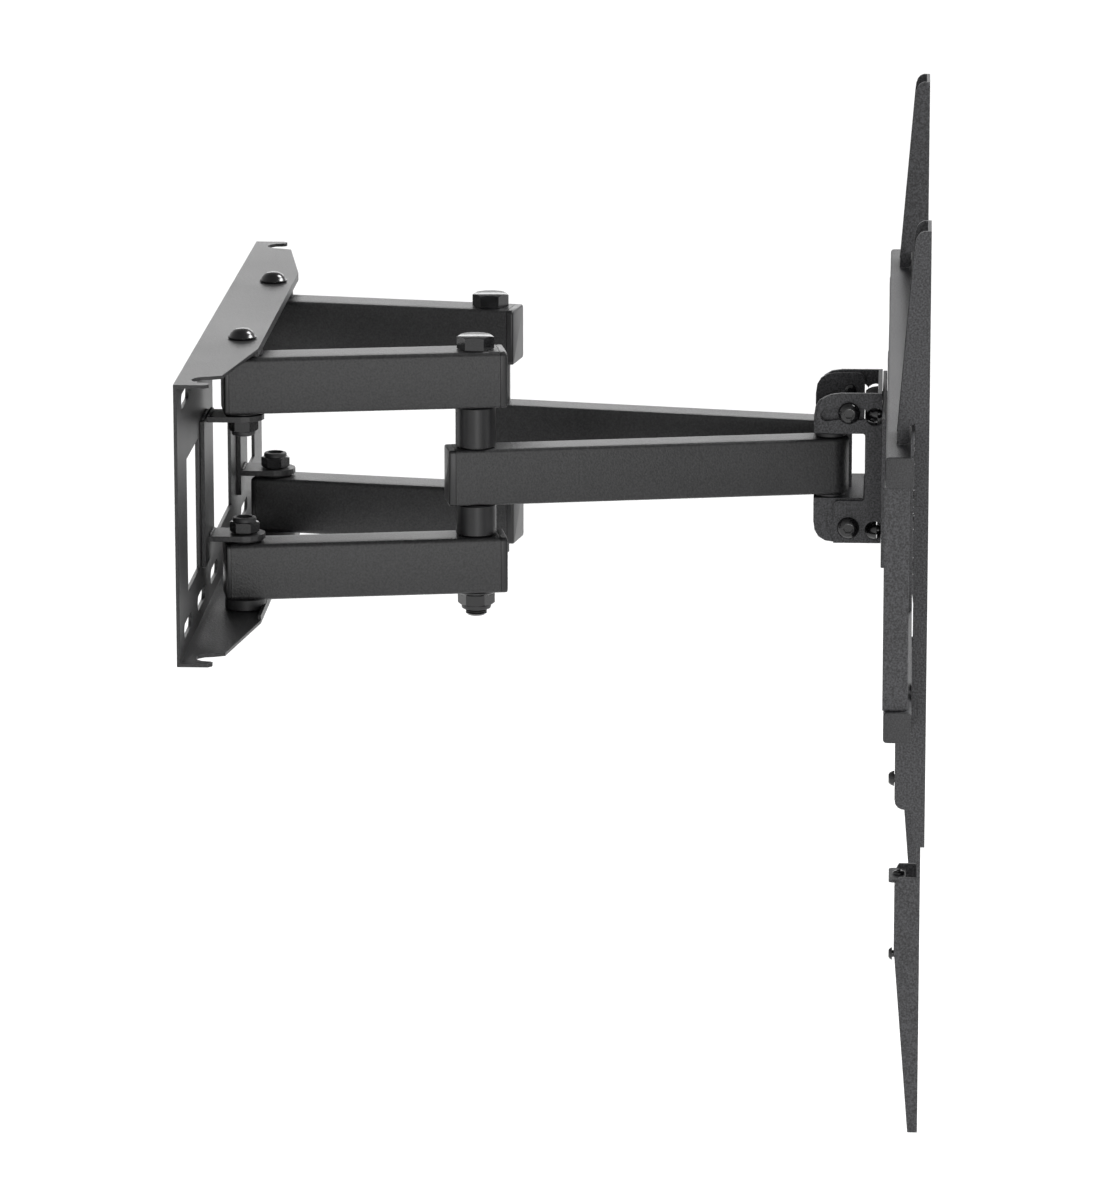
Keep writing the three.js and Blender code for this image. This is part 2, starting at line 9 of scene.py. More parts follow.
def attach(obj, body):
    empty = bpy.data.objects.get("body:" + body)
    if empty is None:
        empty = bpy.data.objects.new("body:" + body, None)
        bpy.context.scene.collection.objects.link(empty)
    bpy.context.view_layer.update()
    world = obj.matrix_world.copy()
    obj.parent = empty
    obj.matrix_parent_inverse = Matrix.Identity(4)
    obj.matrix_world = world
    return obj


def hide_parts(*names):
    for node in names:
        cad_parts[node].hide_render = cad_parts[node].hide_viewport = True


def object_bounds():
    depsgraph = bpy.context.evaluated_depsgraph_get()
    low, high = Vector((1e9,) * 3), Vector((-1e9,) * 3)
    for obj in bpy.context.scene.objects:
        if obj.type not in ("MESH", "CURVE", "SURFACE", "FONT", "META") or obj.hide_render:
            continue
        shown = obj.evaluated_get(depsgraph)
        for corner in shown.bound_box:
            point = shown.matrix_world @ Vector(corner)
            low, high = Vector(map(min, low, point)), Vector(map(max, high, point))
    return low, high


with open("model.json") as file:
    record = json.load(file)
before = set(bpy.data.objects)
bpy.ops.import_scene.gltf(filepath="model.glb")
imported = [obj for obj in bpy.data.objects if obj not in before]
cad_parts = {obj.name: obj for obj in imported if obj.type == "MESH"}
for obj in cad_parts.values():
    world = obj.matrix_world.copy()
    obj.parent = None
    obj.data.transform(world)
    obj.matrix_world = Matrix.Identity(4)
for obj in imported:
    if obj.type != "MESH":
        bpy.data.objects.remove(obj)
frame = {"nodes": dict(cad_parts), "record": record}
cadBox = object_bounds()
mm = 0.001
sides = ("left", "right")

cameraSetup = {
    "place": (-4.785, -0.516, 0.8992),  # far out to the left, above the arms
    "yaw": 3.155,  # degrees turned towards the wall
    "pitch": 12.95,  # degrees looking down
    "roll": -0.06,
    "lens": 195.1,
}


def makeCamera():
    data = bpy.data.cameras.new("sideCamera")
    data.lens = cameraSetup["lens"]
    data.sensor_width = 36
    data.clip_end = 100
    camera = bpy.data.objects.new("sideCamera", data)
    yaw = math.radians(cameraSetup["yaw"])
    pitch = math.radians(cameraSetup["pitch"])
    level = math.cos(pitch)
    forward = Vector((level * math.cos(yaw), level * math.sin(yaw), -math.sin(pitch)))
    turn = forward.to_track_quat("-Z", "Y").to_matrix().to_4x4()
    turn = turn @ Matrix.Rotation(math.radians(cameraSetup["roll"]), 4, "Z")
    camera.matrix_world = Matrix.Translation(cameraSetup["place"]) @ turn
    bpy.context.collection.objects.link(camera)
    bpy.context.scene.camera = camera


lightSetup = {
    "floor": {"drop": 0.75, "half": 30, "colour": "#fbfbfb", "roughness": 0.9, "specular": 0.1},
    "sky": {"from": 0.25, "to": 0.9, "strengths": (0.78, 0.25)},  # darker overhead
    "sun": {"height": 4, "slope": (-0.35, 0.75, -0.95), "strength": 2.9, "softness": 24},
    "areas": {
        "farSoftbox": {"place": (4.2, -0.4, 1.3), "aim": (0, -0.25, 0),
                       "size": (3.2, 1.2), "watts": 31},
        "cameraSide": {"place": (-3.4, -0.9, -0.05), "aim": (0, -0.25, -0.1),
                       "size": (0.9, 0.7), "watts": 17},
    },
}


def linearColour(hexText):
    channels = [int(hexText[i : i + 2], 16) / 255 for i in (1, 3, 5)]
    linear = [c / 12.92 if c <= 0.04045 else ((c + 0.055) / 1.055) ** 2.4 for c in channels]
    return (*linear, 1)


def placeLamp(name, data, place, aim):
    lamp = bpy.data.objects.new(name, data)
    turn = aim.to_track_quat("-Z", "Y").to_matrix().to_4x4()
    lamp.matrix_world = Matrix.Translation(place) @ turn
    bpy.context.collection.objects.link(lamp)


def makeFloor():
    setup = lightSetup["floor"]
    low = cadBox[0].z - setup["drop"]
    build = bmesh.new()
    bmesh.ops.create_grid(build, x_segments=1, y_segments=1, size=setup["half"])
    bmesh.ops.translate(build, verts=build.verts, vec=(0, 0, low))
    mesh = bpy.data.meshes.new("paleFloor")
    build.to_mesh(mesh)
    build.free()
    floor = bpy.data.objects.new("paleFloor", mesh)
    bpy.context.collection.objects.link(floor)
    paint = bpy.data.materials.new("palePaper")
    paint.use_nodes = True
    shader = paint.node_tree.nodes["Principled BSDF"]
    shader.inputs["Base Color"].default_value = linearColour(setup["colour"])
    shader.inputs["Roughness"].default_value = setup["roughness"]
    shader.inputs["Specular IOR Level"].default_value = setup["specular"]
    mesh.materials.append(paint)


def makeSky():
    setup = lightSetup["sky"]
    world = bpy.data.worlds.new("studioAir")
    world.use_nodes = True
    air = world.node_tree.nodes["Background"]
    air.inputs["Color"].default_value = (1, 1, 1, 1)
    direction = world.node_tree.nodes.new("ShaderNodeTexCoord")
    split = world.node_tree.nodes.new("ShaderNodeSeparateXYZ")
    fade = world.node_tree.nodes.new("ShaderNodeMapRange")
    fade.inputs["From Min"].default_value = setup["from"]
    fade.inputs["From Max"].default_value = setup["to"]
    fade.inputs["To Min"].default_value = setup["strengths"][0]
    fade.inputs["To Max"].default_value = setup["strengths"][1]
    world.node_tree.links.new(direction.outputs["Generated"], split.inputs["Vector"])
    world.node_tree.links.new(split.outputs["Z"], fade.inputs["Value"])
    world.node_tree.links.new(fade.outputs["Result"], air.inputs["Strength"])
    bpy.context.scene.world = world


def makeLamps():
    setup = lightSetup["sun"]
    sun = bpy.data.lights.new("softSun", "SUN")
    sun.energy = setup["strength"]
    sun.angle = math.radians(setup["softness"])
    placeLamp("softSun", sun, Vector((0, 0, setup["height"])), Vector(setup["slope"]))
    for name, setup in lightSetup["areas"].items():
        data = bpy.data.lights.new(name, "AREA")
        data.shape = "RECTANGLE"
        data.size, data.size_y = setup["size"]
        data.energy = setup["watts"]
        place = Vector(setup["place"])
        placeLamp(name, data, place, Vector(setup["aim"]) - place)


bpy.context.scene.view_settings.view_transform = "Standard"
makeCamera()
makeFloor()
makeSky()
makeLamps()
print("camera, floor and lights placed")


def addNode(tree, kind, settings=None, links=None):
    node = tree.nodes.new(kind)
    for key, value in (settings or {}).items():
        if hasattr(node, key):
            setattr(node, key, value)
        else:
            node.inputs[key].default_value = value
    for socket, source in (links or {}).items():
        tree.links.new(source, node.inputs[socket])
    return node


coatSettings = {"stops": (0.36, 0.66), "sheen": 0.05, "cloudDetail": 4.0, "grainDetail": 3.0}


def noiseNode(tree, place, sizeMm, detail):
    settings = {"Scale": 1000 / sizeMm, "Detail": detail}
    return addNode(tree, "ShaderNodeTexNoise", settings, {"Vector": place})


def coatMaterial(name, look):
    material = bpy.data.materials.new(name)
    material.use_nodes = True
    tree = material.node_tree
    shader = tree.nodes["Principled BSDF"]
    shader.inputs["IOR"].default_value = look["ior"]
    shader.inputs["Metallic"].default_value = look["metallic"]
    place = addNode(tree, "ShaderNodeTexCoord").outputs["Object"]
    cloud = noiseNode(tree, place, look["cloudMm"], coatSettings["cloudDetail"])
    grain = noiseNode(tree, place, look["grainMm"], coatSettings["grainDetail"])
    mixed = addNode(tree, "ShaderNodeMix", {"data_type": "FLOAT"},
                    {2: cloud.outputs["Fac"], 3: grain.outputs["Fac"]})
    mixed.inputs[0].default_value = look["grainShare"]
    ramp = addNode(tree, "ShaderNodeValToRGB", {}, {"Fac": mixed.outputs[0]})
    tones = (look["dark"], look["light"])
    for element, stop, tone in zip(ramp.color_ramp.elements, coatSettings["stops"], tones):
        element.position = stop
        element.color = linearColour(tone)
    tree.links.new(ramp.outputs["Color"], shader.inputs["Base Color"])
    sheen = addNode(tree, "ShaderNodeMapRange", {}, {"Value": cloud.outputs["Fac"]})
    sheen.inputs["To Min"].default_value = look["roughness"] - coatSettings["sheen"]
    sheen.inputs["To Max"].default_value = look["roughness"] + coatSettings["sheen"]
    tree.links.new(sheen.outputs["Result"], shader.inputs["Roughness"])
    relief = {"Strength": look["bump"], "Distance": look["reliefMm"] * mm}
    bump = addNode(tree, "ShaderNodeBump", relief, {"Height": grain.outputs["Fac"]})
    tree.links.new(bump.outputs["Normal"], shader.inputs["Normal"])
    return material


# epoxy powder baked on steel: nearly black, soft sheen, fine orange peel
satinBlackPowder = coatMaterial("satinBlackPowderCoat", {
    "dark": "#101011", "light": "#2a2a2b", "ior": 1.5, "metallic": 0.0, "roughness": 0.42,
    "cloudMm": 60.0, "grainMm": 1.5, "grainShare": 0.75, "bump": 0.75, "reliefMm": 0.4})
# wrinkle powder: sandy grains that break the light into specks
texturedBlackPowder = coatMaterial("texturedBlackPowderCoat", {
    "dark": "#161617", "light": "#48484b", "ior": 1.5, "metallic": 0.0, "roughness": 0.55,
    "cloudMm": 45.0, "grainMm": 1.3, "grainShare": 0.88, "bump": 0.6, "reliefMm": 0.5})
# injection moulded polypropylene with a light spark texture
mouldedBlackPlastic = coatMaterial("mouldedBlackPlastic", {
    "dark": "#0f0f10", "light": "#18181a", "ior": 1.49, "metallic": 0.0, "roughness": 0.36,
    "cloudMm": 22.0, "grainMm": 0.35, "grainShare": 0.3, "bump": 0.12, "reliefMm": 0.1})
# the rail plugs come from a coarse spark-eroded mould
grainedBlackPlastic = coatMaterial("grainedBlackPlastic", {
    "dark": "#1a1a1b", "light": "#39393b", "ior": 1.49, "metallic": 0.0, "roughness": 0.52,
    "cloudMm": 22.0, "grainMm": 1.1, "grainShare": 0.85, "bump": 0.5, "reliefMm": 0.4})
# hot blackened steel, oiled: dark metal with patchy sheen
blackOxideSteel = coatMaterial("blackOxideSteel", {
    "dark": "#0a0a0b", "light": "#18181a", "ior": 1.6, "metallic": 0.1, "roughness": 0.2,
    "cloudMm": 9.0, "grainMm": 0.5, "grainShare": 0.5, "bump": 0.08, "reliefMm": 0.1})
# nylon collar of a lock nut and the bearing washers, dull dark grey
darkNylon = coatMaterial("darkNylon", {
    "dark": "#1a1a1b", "light": "#29292b", "ior": 1.53, "metallic": 0.0, "roughness": 0.5,
    "cloudMm": 8.0, "grainMm": 0.4, "grainShare": 0.3, "bump": 0.1, "reliefMm": 0.1})

finishes = {
    "satin_coat": satinBlackPowder,
    "textured_coat": texturedBlackPowder,
    "end_caps": mouldedBlackPlastic,
    "black_fasteners": blackOxideSteel,
}
edgeSettings = {"weld": 0.00002, "width": 0.6 * mm, "folded": 1.0 * mm, "segments": 2, "angle": 40}
foldedSheets = ("wall_plate", "tv_bracket", "bracket_extension", "tilt_bracket", "end_upright")


def softenEdges(node):
    weld = node.modifiers.new("mergedCorners", "WELD")
    weld.merge_threshold = edgeSettings["weld"]
    bevel = node.modifiers.new("brokenEdges", "BEVEL")
    folded = node.name.startswith(foldedSheets)
    bevel.width = edgeSettings["folded" if folded else "width"]
    bevel.segments = edgeSettings["segments"]
    bevel.limit_method = "ANGLE"
    bevel.angle_limit = math.radians(edgeSettings["angle"])
    bevel.use_clamp_overlap = True


for part in frame["record"]["subparts"]:
    node = frame["nodes"][part["node"]]
    node.data.materials.clear()
    node.data.materials.append(finishes[part["material_slot"]])
    softenEdges(node)
print("CAD nodes coated")


slotRow = 84  # heights below count from the wall plate's middle, this far under the origin
smoothAngle = 38


def inRow(x, u, z):
    return Matrix.Translation(Vector((x, -u, z - slotRow)) * mm)


def asMesh(build, name):
    bmesh.ops.recalc_face_normals(build, faces=build.faces)
    mesh = bpy.data.meshes.new(name)
    build.to_mesh(mesh)
    build.free()
    return mesh


def combined(build, tools, operation="DIFFERENCE"):
    holders = [bpy.data.objects.new("holder", asMesh(shape, "holder")) for shape in [build, *tools]]
    for holder in holders:
        bpy.context.collection.objects.link(holder)
    for tool in holders[1:]:
        modifier = holders[0].modifiers.new("shapeCut", "BOOLEAN")
        modifier.object = tool
        modifier.operation = operation
        modifier.solver = "EXACT"
    result = bmesh.new()
    result.from_object(holders[0], bpy.context.evaluated_depsgraph_get())
    for holder in holders:
        mesh = holder.data
        bpy.data.objects.remove(holder)
        bpy.data.meshes.remove(mesh)
    return result


def finishPiece(build, name, place, material, body, replaced=()):
    # shapes are drawn in millimetres and placed here in metres
    bmesh.ops.transform(build, matrix=place @ Matrix.Scale(mm, 4), verts=build.verts)
    mesh = asMesh(build, name)
    mesh.shade_smooth()
    mesh.set_sharp_from_angle(angle=math.radians(smoothAngle))
    mesh.materials.append(material)
    piece = bpy.data.objects.new(name, mesh)
    bpy.context.collection.objects.link(piece)
    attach(piece, body)
    if replaced:
        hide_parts(*replaced)


def turned(profile, steps=40):
    build = bmesh.new()
    verts = [build.verts.new((radius, 0, height)) for radius, height in profile]
    edges = [build.edges.new(pair) for pair in zip(verts, verts[1:])]
    bmesh.ops.spin(build, geom=verts + edges, cent=(0, 0, 0), axis=(0, 0, 1), angle=math.tau,
                   steps=steps, use_merge=True)
    bmesh.ops.remove_doubles(build, verts=build.verts, dist=0.001)
    return build


def rod(radius, low, high, segments=40):
    build = bmesh.new()
    bmesh.ops.create_cone(build, cap_ends=True, segments=segments, radius1=radius, radius2=radius,
                          depth=high - low)
    bmesh.ops.translate(build, verts=build.verts, vec=(0, 0, (low + high) / 2))
    return build


def block(low, high):
    build = bmesh.new()
    bmesh.ops.create_cube(build, size=1)
    size = Vector(high) - Vector(low)
    bmesh.ops.scale(build, vec=size, verts=build.verts)
    bmesh.ops.translate(build, verts=build.verts, vec=(Vector(high) + Vector(low)) / 2)
    return build


hexSet = {"flatTop": 0.83, "past": 1.02, "slope": 30}


def hexBody(radius, low, high, under=False):
    # corners are taken off by a cone, on top and, for a nut, underneath
    start = hexSet["flatTop"] * radius
    wide = hexSet["past"] * radius
    drop = (wide - start) * math.tan(math.radians(hexSet["slope"]))
    lens = [(0, low), (start if under else wide, low)]
    if under:
        lens.append((wide, low + drop))
    lens += [(wide, high - drop), (start, high), (0, high)]
    return combined(rod(radius, low, high, 6), [turned(lens)], "INTERSECT")


threadSet = {"point": 1.6, "depth": 0.7, "chamfer": 0.9, "crest": (0.3, 0.5), "runOut": 0.6}


def threadedRod(radius, low, high, threadEnd, pitch):
    # rolled thread at the low end, drawn as rings, with a chamfered point
    root = radius - threadSet["depth"]
    rise, fall = threadSet["crest"]
    height = low + threadSet["chamfer"]
    profile = [(0, low), (radius - threadSet["point"], low), (root, height)]
    while height + pitch < threadEnd:
        profile += [(radius, height + rise * pitch), (radius, height + fall * pitch)]
        profile.append((root, height + pitch))
        height += pitch
    profile += [(radius, height + threadSet["runOut"]), (radius, high), (0, high)]
    return turned(profile)


def joined(*builds):
    whole = bmesh.new()
    for build in builds:
        mesh = asMesh(build, "joining")
        whole.from_mesh(mesh)
        bpy.data.meshes.remove(mesh)
    return whole


def turnOver(build, axis, height=0.0):
    half = Matrix.Rotation(math.pi, 3, axis)
    bmesh.ops.rotate(build, cent=(0, 0, height), matrix=half, verts=build.verts)


armSet = {
    "wall": (118, 31),  # pivot centres: sideways, then out from the wall
    "elbow": (87, 200),
    "head": (33, 461),
    "wallThickness": 2.5,
    "elbowBore": 8.3,
    "rear": {"half": 17, "height": 42, "tail": 11.5, "nose": 16.5, "corner": 3.2, "bore": 6.3,
             "cap": (0.3, 5.3), "capEdge": 1.6, "plug": (0.3, 3.6), "plugEdge": 1.2,
             "tops": {"upper": 90.5, "lower": -49}},
    "front": {"half": 14, "height": 42, "tail": 16.5, "nose": 13.9, "corner": 2.4, "top": 17,
              "cap": (0.3, 5.3), "capEdge": 1.6, "solidNose": 2,
              "headBores": {"left": 5.3, "right": 9.5}},  # the open pivot has the wide bore
}


def alongArm(start, end, sign, top):
    first = Vector((sign * armSet[start][0], -armSet[start][1], top - slotRow))
    second = Vector((sign * armSet[end][0], -armSet[end][1], top - slotRow))
    forward = (second - first).normalized()
    across = Vector((forward.y, -forward.x, 0))
    turn = Matrix((across, forward, Vector((0, 0, 1)))).transposed().to_4x4()
    return Matrix.Translation(first * mm) @ turn, (second - first).length


def edgesWhere(build, test):
    return [edge for edge in build.edges if test(edge.verts[0].co, edge.verts[1].co)]


def roundEdges(build, edges, radius, segments):
    bmesh.ops.bevel(build, geom=edges, offset=radius, offset_type="OFFSET", segments=segments,
                    profile=0.5, affect="EDGES", material=-1, clamp_overlap=True)


def roundedBar(half, height, start, end, corner, nose=0.0, endRadius=0.0):
    build = block((-half, start, -height), (half, end, 0))
    if nose:
        upright = edgesWhere(build, lambda a, b: abs(a.z - b.z) > 1 and a.y > end - 0.1)
        roundEdges(build, upright, nose, 10)
        level = edgesWhere(
            build, lambda a, b: abs(a.z - b.z) < 0.1 and max(a.y, b.y) > start + 0.1)
        roundEdges(build, level, corner, 4)
        return build
    long = edgesWhere(build, lambda a, b: abs(a.y - b.y) > 1)
    roundEdges(build, long, corner, 4)
    if endRadius:
        rim = edgesWhere(build, lambda a, b: a.y > end - 0.01 and b.y > end - 0.01)
        roundEdges(build, rim, endRadius, 3)
    return build


def armHollow(arm, start, end):
    wall = armSet["wallThickness"]
    low = (wall - arm["half"], start, wall - arm["height"])
    return block(low, (arm["half"] - wall, end, -wall))


def armBore(arm, radius, along=0.0):
    bore = rod(radius, -arm["height"] - 1, 1)
    bmesh.ops.translate(bore, verts=bore.verts, vec=(0, along, 0))
    return bore


def armCap(arm, base, span, edge, backwards=False):
    cap = roundedBar(arm["half"], arm["height"], base + span[0], base + span[1], arm["corner"],
                     endRadius=edge)
    if backwards:
        turnOver(cap, "Z")
    return cap


def makeRearArms(sign, side):
    rear = armSet["rear"]
    body = f"rear_arm_{side}"
    for level, top in rear["tops"].items():
        place, length = alongArm("wall", "elbow", sign, top)
        end = length + rear["nose"]
        tube = roundedBar(rear["half"], rear["height"], -rear["tail"], end, rear["corner"])
        tools = [armHollow(rear, -rear["tail"] - 1, end + 1), armBore(rear, rear["bore"]),
                 armBore(rear, armSet["elbowBore"], length)]
        finishPiece(combined(tube, tools), f"rearArm_{level}_{side}", place, satinBlackPowder,
                    body, [f"rear_arm_{level}_{side}"])
        cap = armCap(rear, end, rear["cap"], rear["capEdge"])
        finishPiece(cap, f"rearCap_{level}_{side}", place, mouldedBlackPlastic, body,
                    [f"rear_cap_{level}_{side}"])
        plug = armCap(rear, rear["tail"], rear["plug"], rear["plugEdge"], backwards=True)
        finishPiece(plug, f"wallEndCap_{level}_{side}", place, mouldedBlackPlastic,
                    body)


def makeFrontArm(sign, side):
    front = armSet["front"]
    body = f"front_arm_{side}"
    place, length = alongArm("elbow", "head", sign, front["top"])
    tube = roundedBar(front["half"], front["height"], -front["tail"], length + front["half"],
                      front["corner"], nose=front["nose"])
    tools = [armHollow(front, -front["tail"] - 1, length - front["solidNose"]),
             armBore(front, armSet["elbowBore"]),
             armBore(front, front["headBores"][side], length)]
    finishPiece(combined(tube, tools), f"frontArm_{side}", place, satinBlackPowder,
                body, [f"front_arm_{side}"])
    cap = armCap(front, front["tail"], front["cap"], front["capEdge"], backwards=True)
    finishPiece(cap, f"frontCap_{side}", place, mouldedBlackPlastic, body,
                [f"front_cap_{side}"])


def washer(name, place, inner, outer, span, body):
    low, high = span
    rim = min(0.6, (high - low) / 3)
    ring = turned([(inner, low), (outer - rim, low), (outer, low + rim), (outer, high - rim),
                   (outer - rim, high), (inner, high), (inner, low)])
    finishPiece(ring, name, place, darkNylon, body)


nutSet = {"collar": 3.2, "sunk": 0.2, "collarWidth": 0.8, "crimp": ((0, 1.4), (0.5, 0.4), (1.5, 0)),
          "flangeEdge": 0.9, "flangeTop": 2.8}


def lockNut(name, place, size, low, up, body, replaced):
    # seat at low, nylon collar at the far end: it hangs below the seat unless up is true
    radius = size["radius"]
    bore = size["bore"]
    height = size["height"]
    thick = height - nutSet["collar"]
    parts = [hexBody(radius, low, low + thick, under=True)]
    if "flange" in size:
        top = low + nutSet["flangeTop"]
        parts.append(turned([(0, low), (size["flange"], low),
                             (size["flange"], low + nutSet["flangeEdge"]),
                             (radius - 1, top), (0, top)]))
    nut = joined(*parts)
    ringOut = nutSet["collarWidth"] * radius
    foot = low + thick - nutSet["sunk"]
    crimp = [(ringOut - inward, low + height - down) for inward, down in nutSet["crimp"]]
    collar = turned([(bore, foot), (ringOut, foot), *crimp, (bore, low + height), (bore, foot)])
    if not up:
        turnOver(nut, "X", low)
        turnOver(collar, "X", low)
    finishPiece(nut, name, place, blackOxideSteel, body, replaced)
    finishPiece(collar, f"{name}Collar", place, darkNylon, body)


elbowSet = {
    "head": (13.8, 90.8, 100.8),  # corner radius, low, high
    "shank": (8, -110, 91, -93, 1.6),  # radius, low, high, thread end, pitch
    "nut": {"radius": 13.8, "bore": 8, "height": 14, "flange": 15},
    "nutSeat": -91.3,
    "sleeve": {"bore": 8.4, "radius": 15, "ease": 1, "steps": 56},
    "sleeves": {"upper": (17.3, 48.2), "lower": (-48.7, -25.3)},
}


def makeElbow(sign, side):
    place = inRow(sign * armSet["elbow"][0], armSet["elbow"][1], 0)
    body = f"rear_arm_{side}"
    bolt = joined(hexBody(*elbowSet["head"]), threadedRod(*elbowSet["shank"]))
    finishPiece(bolt, f"elbowBolt_{side}", place, blackOxideSteel, body,
                [f"elbow_bolt_{side}"])
    lockNut(f"elbowNut_{side}", place, elbowSet["nut"], elbowSet["nutSeat"], False, body,
            [f"elbow_nut_{side}"])
    bore = elbowSet["sleeve"]["bore"]
    radius = elbowSet["sleeve"]["radius"]
    ease = elbowSet["sleeve"]["ease"]
    for level, (low, high) in elbowSet["sleeves"].items():
        profile = [(bore, low), (radius - ease, low), (radius, low + ease), (radius, high - ease),
                   (radius - ease, high), (bore, high), (bore, low)]
        sleeve = turned(profile, elbowSet["sleeve"]["steps"])
        finishPiece(sleeve, f"elbowSpacer_{level}_{side}", place, mouldedBlackPlastic,
                    body, [f"elbow_spacer_{level}_{side}"])


pivotSet = {
    "dome": [(0, 0), (9.8, 0), (10.5, 0.5), (10.5, 1.3), (9.6, 1.9), (8.6, 3.9), (6.8, 5.8),
             (4.2, 7.1), (0, 7.6)],
    "shank": 6,
    "threadLength": 12,
    "pitch": 1.5,
    "flange": 102.8,  # outer face of the plate's flange, where the head sits
    "tips": {"upper": 33.5, "lower": 34},
    "nut": {"radius": 11, "bore": 6, "height": 11.7},
    "nutSeats": {"upper": 42.2, "lower": -42.7},
    "ringBore": 6.4,
    "rings": {"upperBush": (90.8, 99.7, 15), "lowerBush": (-99.7, -91.3, 15),
              "upperTabWasher": (46.8, 48.2, 13), "lowerTabWasher": (-48.7, -47.3, 13)},
}


def makeWallPivots(sign, side):
    place = inRow(sign * armSet["wall"][0], armSet["wall"][1], 0)
    flange = pivotSet["flange"]
    for level in ("upper", "lower"):
        tip = pivotSet["tips"][level] - flange
        shank = threadedRod(pivotSet["shank"], tip, 0.5, tip + pivotSet["threadLength"],
                            pivotSet["pitch"])
        bolt = joined(turned(pivotSet["dome"]), shank)
        bmesh.ops.translate(bolt, verts=bolt.verts, vec=(0, 0, flange))
        if level == "lower":
            turnOver(bolt, "X")
        finishPiece(bolt, f"pivotBolt_{level}_{side}", place, blackOxideSteel,
                    "wall", [f"wall_bolt_{level}_{side}"])
        lockNut(f"pivotNut_{level}_{side}", place, pivotSet["nut"], pivotSet["nutSeats"][level],
                level == "lower", "wall", [f"wall_nut_{level}_{side}"])
    for name, (low, high, outer) in pivotSet["rings"].items():
        washer(f"{name}_{side}", place, pivotSet["ringBore"], outer, (low, high), "wall")


headSet = {
    "bolt": (9.2, 25.3, 31.8),
    "shank": (5, -41, 26, -33, 1.25),
    "nut": {"radius": 9.2, "bore": 5, "height": 8},
    "nutSeat": -32.3,
    "washer": (5.4, 11.5),
    "washers": {"Top": (17.3, 20.7), "Under": (-27.7, -25.3)},
}


def makeHeadPivot(sign, side):
    place = inRow(sign * armSet["head"][0], armSet["head"][1], 0)
    bolt = joined(hexBody(*headSet["bolt"]), threadedRod(*headSet["shank"]))
    finishPiece(bolt, f"headBolt_{side}", place, blackOxideSteel, "head",
                [f"head_bolt_{side}"])
    lockNut(f"headNut_{side}", place, headSet["nut"], headSet["nutSeat"], False, "head",
            [f"head_nut_{side}"])
    for level, span in headSet["washers"].items():
        washer(f"headWasher{level}_{side}", place, *headSet["washer"], span, "head")


buttonSet = {"dome": ((0.92, 0.45), (0.75, 0.8), (0.55, 1)), "edge": 0.5, "socket": 0.46,
             "socketFrom": 0.35, "shankTop": 0.2, "threadEnd": -0.4, "pitch": 1.0}


def buttonScrew(name, place, size, body, replaced=()):
    radius, height, shank, length = size
    dome = [(wide * radius, tall * height) for wide, tall in buttonSet["dome"]]
    head = turned([(0, 0), (radius, 0), (radius, buttonSet["edge"]), *dome, (0, height)])
    socket = rod(buttonSet["socket"] * radius, buttonSet["socketFrom"] * height, height + 1, 6)
    screw = threadedRod(shank, -length, buttonSet["shankTop"], buttonSet["threadEnd"] * length,
                        buttonSet["pitch"])
    finishPiece(joined(combined(head, [socket]), screw), name, place, blackOxideSteel,
                body, replaced)


cheekScrewSet = {"size": (8.2, 4.5, 4, 11.2), "across": 48.6, "out": 475,
                 "heights": {"pivot": -50, "lock": 37}}

for sign, side in zip((-1, 1), sides):
    makeRearArms(sign, side)
    makeFrontArm(sign, side)
    makeElbow(sign, side)
    makeWallPivots(sign, side)
    makeHeadPivot(sign, side)
    outward = Matrix.Rotation(sign * math.pi / 2, 4, "Y")
    for use, height in cheekScrewSet["heights"].items():
        place = inRow(sign * cheekScrewSet["across"], cheekScrewSet["out"], height) @ outward
        buttonScrew(f"tilt{use}screw_{side}", place, cheekScrewSet["size"], "head",
                    [f"tilt_{use}_screw_{side}"])
print("arms, pivots and fasteners made")

plateScrewSet = {"size": (6.5, 3.4, 3.5, 16), "across": (-78, 78), "out": 523.3,
                 "heights": (-72, -21, 30)}
toTelevision = Matrix.Rotation(math.pi / 2, 4, "X")
for across in plateScrewSet["across"]:
    for height in plateScrewSet["heights"]:
        place = inRow(across, plateScrewSet["out"], height) @ toTelevision
        buttonScrew(f"centrePlateScrew_{across}_{height}", place, plateScrewSet["size"],
                    "tv_frame")

weldSet = {
    "radius": 1.7, "pitch": 1.9, "uneven": 0.22, "wander": 0.25,
    "beads": {"upperTab": (118, 6.6, 46.9, 26), "lowerTab": (118, 6.6, -43.2, 26),
              "strapTop": (126, 3.2, 46.6, 36), "strapFoot": (126, 3.2, -62.2, 36)},
}  # each bead: sideways, out from the wall, height, length


def weldBead(name, place, length):
    # overlapping puddles left by a hand-run weld
    count = int(length / weldSet["pitch"])
    build = bmesh.new()
    for i in range(count):
        grow = 1 + weldSet["uneven"] * math.sin(2.3 * i) * math.cos(0.9 * i)
        along = weldSet["pitch"] * (i - (count - 1) / 2)
        shift = Matrix.Translation((along, 0, weldSet["wander"] * math.sin(1.7 * i)))
        bmesh.ops.create_icosphere(build, subdivisions=2, radius=weldSet["radius"] * grow,
                                   matrix=shift)
    finishPiece(build, name, place, satinBlackPowder, "wall")


for sign, side in zip((-1, 1), sides):
    for name, (across, out, height, length) in weldSet["beads"].items():
        weldBead(f"{name}Weld_{side}", inRow(sign * across, out, height), length)
print("weld beads made")

